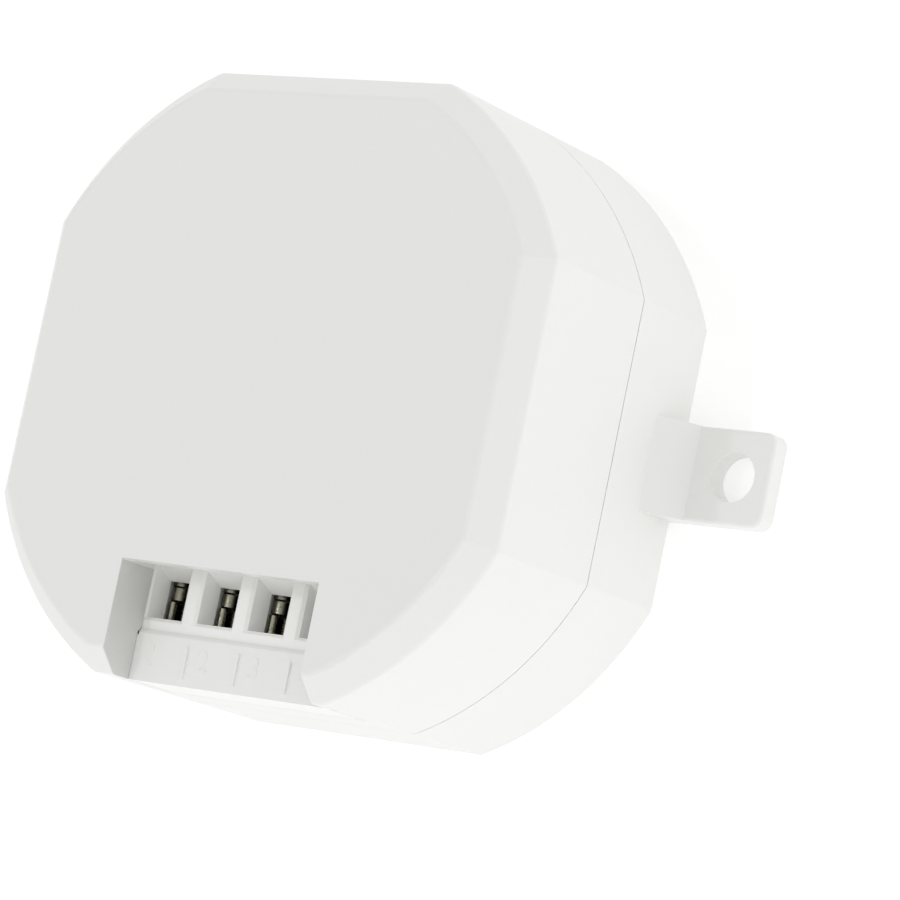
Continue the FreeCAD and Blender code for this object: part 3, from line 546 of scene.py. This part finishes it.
class TerminalSettings(bpy.types.PropertyGroup):
    metal_colour: FloatVectorProperty(
        name="Clamp colour", description="Plating of the clamps and screws", subtype="COLOR",
        size=3, min=0.0, max=1.0, default=(0.375, 0.365, 0.285))
    bar_colour: FloatVectorProperty(
        name="Contact bar colour", description="Tinned contact bars", subtype="COLOR",
        size=3, min=0.0, max=1.0, default=(0.28, 0.275, 0.21))
    thread_pitch: FloatProperty(
        name="Thread pitch", description="Pitch of the clamp screws",
        subtype="DISTANCE", unit="LENGTH", min=0.0002, max=0.001, default=0.0004)
    shank_radius: FloatProperty(
        name="Shank radius", description="Radius of the clamp screws under the thread",
        subtype="DISTANCE", unit="LENGTH", min=0.0005, max=0.001, default=0.00095)
    number_height: FloatProperty(
        name="Number height", description="Height of the raised pole numbers",
        subtype="DISTANCE", unit="LENGTH", min=0.0005, max=0.003, default=0.0018)
    number_relief: FloatProperty(
        name="Number relief", description="How far the pole numbers stand out",
        subtype="DISTANCE", unit="LENGTH", min=0.00002, max=0.0002, default=0.00006)


class ElectronicsSettings(bpy.types.PropertyGroup):
    board_colour: FloatVectorProperty(
        name="Board colour", description="Solder mask of the boards", subtype="COLOR",
        size=3, min=0.0, max=1.0, default=(0.02, 0.13, 0.05))
    winding_turns: IntProperty(
        name="Winding turns", description="Turns in one layer of the choke",
        min=4, max=24, default=13)


class StudioSettings(bpy.types.PropertyGroup):
    sky: FloatProperty(
        name="Sky", description="Strength of the even light", min=0.0, max=2.0, default=0.806)
    band: FloatProperty(
        name="Low band", description="Extra strength of the light near the floor",
        min=0.0, max=9.0, default=1.0)
    lean: FloatProperty(
        name="Lean", description="Extra strength of the light from the terminal side",
        min=0.0, max=1.0, default=0.155)
    side: FloatProperty(
        name="Side", description="Extra strength of the light from the ear side",
        min=0.0, max=1.0, default=0.07)
    floor_glow: FloatProperty(
        name="Floor glow", description="Strength of the light from the floor on the object",
        min=0.0, max=1.0, default=0.34)
    overhead: FloatProperty(
        name="Overhead lamp", description="Power of the soft lamp over the object",
        unit="POWER", min=0.0, max=50.0, default=0.12)


# Operators

class DIMMER_OT_housing(bpy.types.Operator):
    """Finishes both shells, the sliding cover and the terminal block"""
    bl_idname = "dimmer.housing"
    bl_label = "Housing"

    def execute(self, context):
        housing = context.scene.dimmer_housing
        colour = tuple(housing.shell_colour)
        look = (housing.shell_roughness, housing.grain, 0.03)
        # The front shell gets painted shade on its recess walls, as strong as recess_shade
        recess = (*RECESS, housing.recess_shade)
        dress("front_shell", moulded_plastic("front_plastic", colour, *look, recess))
        dress("rear_shell", moulded_plastic("rear_plastic", colour, *look))
        cover_colour = tuple(min(1.0, channel * 1.04) for channel in colour)
        dress("terminal_cover", moulded_plastic("cover_plastic", cover_colour, *look))
        block_colour = tuple(housing.block_colour)
        dress("terminal_block", moulded_plastic("block_plastic", block_colour, 0.36, 0.006))
        return {"FINISHED"}


class DIMMER_OT_numbers(bpy.types.Operator):
    """Raises plain pole numbers on the marking strip"""
    bl_idname = "dimmer.numbers"
    bl_label = "Pole numbers"

    def execute(self, context):
        terminal = context.scene.dimmer_terminal
        relief = terminal.number_relief
        low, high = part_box("terminal_cover")
        strip_y = (low.y + high.y) / 2
        strip_top = high.z - RULE_HEIGHT * MM
        shell = NODES["terminal_cover"].data.materials[0]
        for pole in POLES:
            strip_x = middle("clamp_screw_%d" % pole).x
            curve = bpy.data.curves.new("number_%d" % pole, "FONT")
            curve.body = str(pole)
            curve.size = terminal.number_height * 1.4
            curve.align_x = "CENTER"
            curve.align_y = "CENTER"
            curve.extrude = relief / 2
            curve.bevel_depth = relief / 4
            holder = bpy.data.objects.new("number_curve", curve)
            context.scene.collection.objects.link(holder)
            context.view_layer.update()
            mesh = bpy.data.meshes.new_from_object(holder)
            bpy.data.objects.remove(holder)
            mesh.transform(Matrix.Translation((strip_x, strip_y, strip_top + relief / 4)))
            piece = bpy.data.objects.new("pole_number_%d" % pole, mesh)
            context.scene.collection.objects.link(piece)
            merge_and_face_out(piece)
            settle(piece, "cover", shell)
        return {"FINISHED"}


class DIMMER_OT_clamps(bpy.types.Operator):
    """Finishes the clamps: plating, screw threads and ribbed jaws"""
    bl_idname = "dimmer.clamps"
    bl_label = "Clamps"

    def execute(self, context):
        terminal = context.scene.dimmer_terminal
        colour = tuple(terminal.metal_colour)
        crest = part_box("clamp_cage_1")[1].z / MM
        # Heights of the painted shade: the cage plating is dark more than 0.4 mm below its crest,
        # standing in for the shade inside the windows
        painted_shade_heights = (crest - 0.4, crest + 0.12)
        plating = plated_metal("nickel_plating", colour, 0.24, painted_shade_heights=painted_shade_heights)
        bright = plated_metal("screw_plating", colour, 0.2, (40.0, 3.0, 40.0))
        tin = plated_metal("tinned_bar", tuple(terminal.bar_colour), 0.34)
        for pole in POLES:
            dress("clamp_cage_%d" % pole, plating)
            dress("clamp_screw_%d" % pole, bright)
            dress("contact_bar_%d" % pole, tin)
            screw_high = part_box("clamp_screw_%d" % pole)[1]
            cage_low, cage_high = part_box("clamp_cage_%d" % pole)
            ridge = thread_ridge(
                "thread_%d" % pole, middle("clamp_screw_%d" % pole), terminal.shank_radius,
                (cage_low.y + THREAD_START * MM, screw_high.y - SUNK * MM), terminal.thread_pitch,
                height=0.04 * MM)
            settle(ridge, "screw_%d" % pole, bright)
            jaw_low = (
                cage_low.x + RIBS_INSET * MM, cage_high.y - JAW_THICK * MM, cage_low.z + SUNK * MM)
            jaw_high = (
                cage_high.x - RIBS_INSET * MM, cage_high.y - (JAW_THICK - SUNK) * MM,
                cage_high.z - RIBS_TOP * MM)
            jaw = ribbed_plate(
                "jaw_ribs_%d" % pole, jaw_low, jaw_high, ridges=4, height=0.06 * MM)
            settle(jaw, "cage_%d" % pole, plating)
        return {"FINISHED"}


class DIMMER_OT_mounting_side(bpy.types.Operator):
    """Finishes what sits on the mounting side: label, button, light"""
    bl_idname = "dimmer.mounting_side"
    bl_label = "Mounting side"

    def execute(self, context):
        low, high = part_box("rating_label")
        box = ((low.x / MM, high.x / MM), (low.y / MM, high.y / MM))
        dress("rating_label", blank_foil("label_foil", (0.8, 0.81, 0.8), box))
        dress("button_cap", moulded_plastic("button_plastic", (0.42, 0.43, 0.44), 0.4, 0.01))
        dress("light_pipe", clear_moulding("clear_plastic", (0.93, 0.96, 0.97)))
        dress("status_led", coated("led_resin", (0.75, 0.86, 0.7), 0.2, 0.8, 0.005))
        dress("button_switch", moulded_plastic("switch_plastic", (0.03, 0.03, 0.032), 0.4, 0.01, 0.1))
        film = moulded_plastic("sheet_film", (0.82, 0.8, 0.7), 0.35, 0.004, 0.05)
        dress("insulating_sheet", film)
        return {"FINISHED"}


class DIMMER_OT_boards(bpy.types.Operator):
    """Finishes the circuit boards with solder, chips and small parts"""
    bl_idname = "dimmer.boards"
    bl_label = "Boards"

    def execute(self, context):
        mask = tuple(context.scene.dimmer_electronics.board_colour)
        laminate = board_laminate("board_laminate", mask, (0.72, 0.6, 0.38))
        for node in ("circuit_board", "radio_board"):
            dress(node, laminate)
        resin = moulded_plastic("chip_resin", (0.025, 0.025, 0.028), 0.5, 0.02, 0.15)
        for node in ("controller_chip", "radio_chip"):
            dress(node, resin)
        dress("crystal", plated_metal("crystal_can", (0.7, 0.7, 0.7), 0.25))
        tin = plated_metal("solder_tin", (0.6, 0.58, 0.52), 0.35)
        dress("antenna_strip", tin)
        low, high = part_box("circuit_board")
        fillets = solder_cones(
            "solder_fillets", self.lead_spots(), low.z, height=0.9 * MM, radius=0.85 * MM)
        settle(fillets, "housing", tin)
        self.small_parts(high.z, tin)
        return {"FINISHED"}

    @staticmethod
    def lead_spots():
        """Where the leads of the parts come through the circuit board."""
        spreads = {
            "film_capacitor": (6.25, 0.0),
            "choke_core": (4.0, 0.0),
            "electrolytic_capacitor": (1.75, 0.0),
            "fuse": (0.0, 2.5),
            "varistor": (3.75, 0.0),
        }
        spots = []
        for node, (dx, dy) in spreads.items():
            centre = middle(node)
            for side in (-MM, MM):
                spots.append((centre.x + side * dx, centre.y + side * dy, 0.0))
        for number in (1, 2):
            low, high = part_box("power_transistor_%d" % number)
            for step in (-1, 0, 1):
                spots.append((
                    (low.x + high.x) / 2 + step * LEAD_PITCH * MM, high.y - LEAD_INSET * MM, 0.0))
        for pole in POLES:
            centre = middle("contact_bar_%d" % pole)
            spots.append((centre.x, centre.y, 0.0))
        return spots

    @staticmethod
    def small_parts(top, tin):
        """Chip resistors and capacitors in free places of the circuit board, with tinned ends.

        A row gives the slot, the colour, the size and the places, in millimetres.
        """
        rows = {
            "chip_resistors": ("black_plastic", (0.03, 0.03, 0.035), (2.0, 1.25, 0.5), [
                (-8.0, -1.8), (-5.4, -1.8), (-2.8, -1.8),
                (4.6, 6.4), (7.6, 6.4), (10.6, 6.4), (13.6, 6.4)]),
            "chip_capacitors": ("ferrite", (0.5, 0.37, 0.22), (1.6, 0.8, 0.7), [
                (-8.0, 8.4), (-5.4, 8.4), (-2.8, 8.4),
                (5.0, 4.0), (8.0, 4.0), (11.0, 4.0), (-18.0, 9.4)]),
        }
        for name, (slot, colour, size, places) in rows.items():
            body = moulded_plastic(name + "_body", colour, 0.4, 0.01, 0.1)
            size = np.array(size) * MM
            spots = np.array([(x * MM, y * MM, top + size[2] / 2) for x, y in places])
            settle(chip_parts(name, spots, size), "housing", body)
            reach = np.array([0.42 * size[0], 0.0, 0.0])
            ends = np.concatenate([spots - reach, spots + reach])
            caps = chip_parts(name + "_ends", ends, size * (0.2, 1.05, 1.0))
            settle(caps, "housing", tin)


class DIMMER_OT_power_parts(bpy.types.Operator):
    """Finishes the power parts: capacitors, fuse, varistor, transistors, heat sink"""
    bl_idname = "dimmer.power_parts"
    bl_label = "Power parts"

    def execute(self, context):
        dress("film_capacitor", coated("film_box", (0.72, 0.55, 0.1), 0.35, 0.2))
        dress("varistor", coated("varistor_epoxy", (0.03, 0.12, 0.4), 0.25, 0.7, 0.08))
        dress("fuse", moulded_plastic("fuse_body", (0.04, 0.04, 0.04), 0.35, 0.01, 0.1))
        centre = middle("electrolytic_capacitor")
        spot = (centre.x / MM, centre.y / MM)
        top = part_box("electrolytic_capacitor")[1].z / MM
        sleeve = sleeved_can("can_sleeve", (0.02, 0.025, 0.05), (0.55, 0.58, 0.6), spot, top)
        dress("electrolytic_capacitor", sleeve)
        transistor = moulded_plastic("transistor_resin", (0.03, 0.03, 0.033), 0.48, 0.02, 0.12)
        for node in ("power_transistor_1", "power_transistor_2"):
            dress(node, transistor)
        dress("heat_sink", plated_metal("sink_aluminium", (0.74, 0.74, 0.75), 0.38, (3.0, 3.0, 40.0)))
        dress("transistor_screws", plated_metal("screw_zinc", (0.6, 0.6, 0.58), 0.3))
        return {"FINISHED"}


class DIMMER_OT_choke(bpy.types.Operator):
    """Winds the choke with enamelled wire on its ferrite core"""
    bl_idname = "dimmer.choke"
    bl_label = "Choke"

    def execute(self, context):
        dress("choke_core", moulded_plastic("ferrite", (0.06, 0.058, 0.06), 0.55, 0.03, 0.2))
        low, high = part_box("choke_winding")
        wire = enamel_wire("enamelled_copper", (0.62, 0.27, 0.11))
        coil = wound_coil(
            "choke_wire", middle("choke_winding"), CHOKE_BORE * MM, (high.x - low.x) / 2,
            (low.z, high.z), context.scene.dimmer_electronics.winding_turns)
        settle(coil, "housing", wire)
        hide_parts("choke_winding")
        return {"FINISHED"}


class DIMMER_OT_studio(bpy.types.Operator):
    """Sets the floor, the light and the camera"""
    bl_idname = "dimmer.studio"
    bl_label = "Studio"

    def execute(self, context):
        studio = context.scene.dimmer_studio
        context.scene.view_settings.view_transform = "Standard"
        self.floor(studio)
        self.world(context, studio)
        self.lamp(context, studio)
        self.camera(context)
        return {"FINISHED"}

    @staticmethod
    def floor(studio):
        """Flat disc of 3 m radius under the object.

        It is lifted to white where it shows as the backdrop, and it glows on the object's sides.
        """
        u = np.linspace(0.0, 2.0 * np.pi, 65)[:-1, None]
        v = np.linspace(0.0, 1.0, 9)[None, :] ** 2 * 3.0
        grid = np.stack([v * np.cos(u), v * np.sin(u), 0.0 * v * u - 0.00002], -1)
        disc = surface("floor", grid, around=True)
        finish = Finish("floor_paper")
        darker, paler = (0.91, 0.91, 0.91), (0.95, 0.95, 0.95)
        finish.join("Base Color", finish.mix(finish.noise(0.02), darker, paler))
        finish.bump(finish.noise(2.0), 0.01)
        glow, lift = (studio.floor_glow,) * 3, (0.24, 0.24, 0.24)
        finish.join("Emission Color", finish.mix(finish.backdrop_rays(), glow, lift))
        finish.plain(roughness=0.9, emission_strength=1.0)
        disc.data.materials.append(finish.material)

    @staticmethod
    def world(context, studio):
        """Even sky, brighter in a low band and on two sides, with a white backdrop.

        In the direction x, y, z its strength is sky + band * (1 - z) ^ 16 + side * x - lean * y.
        """
        world = bpy.data.worlds.new("studio")
        world.use_nodes = True
        context.scene.world = world
        sheet = Sheet(world.node_tree, "Background")
        x, y, z = sheet.split(sheet.node("ShaderNodeTexCoord"))
        low = (1.0 - z).clamp().power(16.0)
        level = studio.sky + low * studio.band + x * studio.side - y * studio.lean
        grey = sheet.node("ShaderNodeCombineXYZ", {}, [level, level, level])
        sheet.join("Color", sheet.mix(sheet.backdrop_rays(), grey, (1.0, 1.0, 1.0)))

    @staticmethod
    def lamp(context, studio):
        """One lamp over the object, aimed at its middle."""
        light = bpy.data.lights.new("overhead_lamp", "AREA")
        light.shape = "DISK"
        light.size = 0.02
        light.energy = studio.overhead
        lamp = bpy.data.objects.new("overhead_lamp", light)
        context.scene.collection.objects.link(lamp)
        lamp.location = (-0.08, 0.06, 0.42)
        aim = Vector((0.0, 0.0, 0.012)) - lamp.location
        lamp.rotation_euler = aim.to_track_quat("-Z", "Y").to_euler()

    @staticmethod
    def camera(context):
        """Camera solved from the outlines of the housing, with its place in metres."""
        place = (0.2262, -0.0515, 0.3049)
        right = Vector((0.80505, 0.19985, -0.55853))
        down = Vector((0.08461, -0.97060, -0.22534))
        ahead = Vector((-0.58714, 0.13415, -0.79829))
        lens = bpy.data.cameras.new("photo_camera")
        lens.sensor_width = 36.0
        lens.lens = 187.93
        lens.clip_start = 0.01
        lens.clip_end = 20.0
        camera = bpy.data.objects.new("photo_camera", lens)
        context.scene.collection.objects.link(camera)
        turn = Matrix((right, -down, -ahead)).transposed()
        camera.matrix_world = Matrix.Translation(place) @ turn.to_4x4()
        context.scene.camera = camera


class DIMMER_PT_panel(bpy.types.Panel):
    """Lists the steps and settings of the dimmer module"""
    bl_label = "Dimmer"
    bl_idname = "DIMMER_PT_panel"
    bl_space_type = "VIEW_3D"
    bl_region_type = "UI"
    bl_category = "Dimmer"

    def draw(self, context):
        for name in GROUPS:
            group = getattr(context.scene, name)
            box = self.layout.box()
            for prop in group.bl_rna.properties.keys():
                if prop not in ("rna_type", "name"):
                    box.prop(group, prop)
        for operator in STEPS:
            self.layout.operator(operator.bl_idname)


GROUPS = {
    "dimmer_housing": HousingSettings,
    "dimmer_terminal": TerminalSettings,
    "dimmer_electronics": ElectronicsSettings,
    "dimmer_studio": StudioSettings,
}
STEPS = (
    DIMMER_OT_housing,
    DIMMER_OT_numbers,
    DIMMER_OT_clamps,
    DIMMER_OT_mounting_side,
    DIMMER_OT_boards,
    DIMMER_OT_power_parts,
    DIMMER_OT_choke,
    DIMMER_OT_studio,
)


def register():
    for group in GROUPS.values():
        bpy.utils.register_class(group)
    for operator in STEPS:
        bpy.utils.register_class(operator)
    bpy.utils.register_class(DIMMER_PT_panel)
    for name, group in GROUPS.items():
        setattr(bpy.types.Scene, name, PointerProperty(type=group))


def unregister():
    for name in GROUPS:
        delattr(bpy.types.Scene, name)
    bpy.utils.unregister_class(DIMMER_PT_panel)
    for operator in reversed(STEPS):
        bpy.utils.unregister_class(operator)
    for group in reversed(list(GROUPS.values())):
        bpy.utils.unregister_class(group)


def main():
    register()
    for operator in STEPS:
        name = operator.bl_idname.split(".")[1]
        getattr(bpy.ops.dimmer, name)()


if __name__ == "__main__":
    main()
